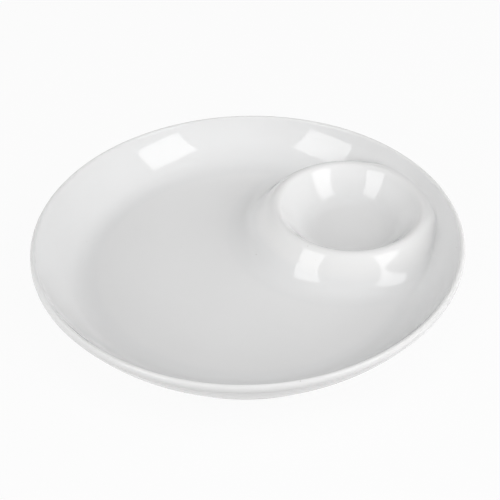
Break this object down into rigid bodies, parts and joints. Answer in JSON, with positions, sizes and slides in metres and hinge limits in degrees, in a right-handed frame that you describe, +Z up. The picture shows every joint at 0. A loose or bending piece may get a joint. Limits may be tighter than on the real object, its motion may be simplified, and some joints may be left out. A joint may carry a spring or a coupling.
{
  "type": "chip and dip server",
  "caption": "Round white glazed porcelain plate on a low foot ring, with a raised round dip cup set off-centre inside its sloping rim, for serving chips round a dip.",
  "frame": {"origin": "centre of the foot ring on the table, under the middle of the plate", "axes": "+Z up out of the plate, +X from the plate's middle towards the dip cup, so XZ is the mirror plane"},
  "size_m": [0.254, 0.254, 0.0335],
  "materials": {
    "glaze": "clear gloss glaze over white porcelain",
    "cup_glaze": "clear gloss glaze over white porcelain",
    "bare_foot": "unglazed, ground smooth on the bearing face"
  },
  "bodies": {
    "root": {"plate": "glaze", "dip_cup": "cup_glaze", "foot_ring": "bare_foot"}
  },
  "joints": []
}
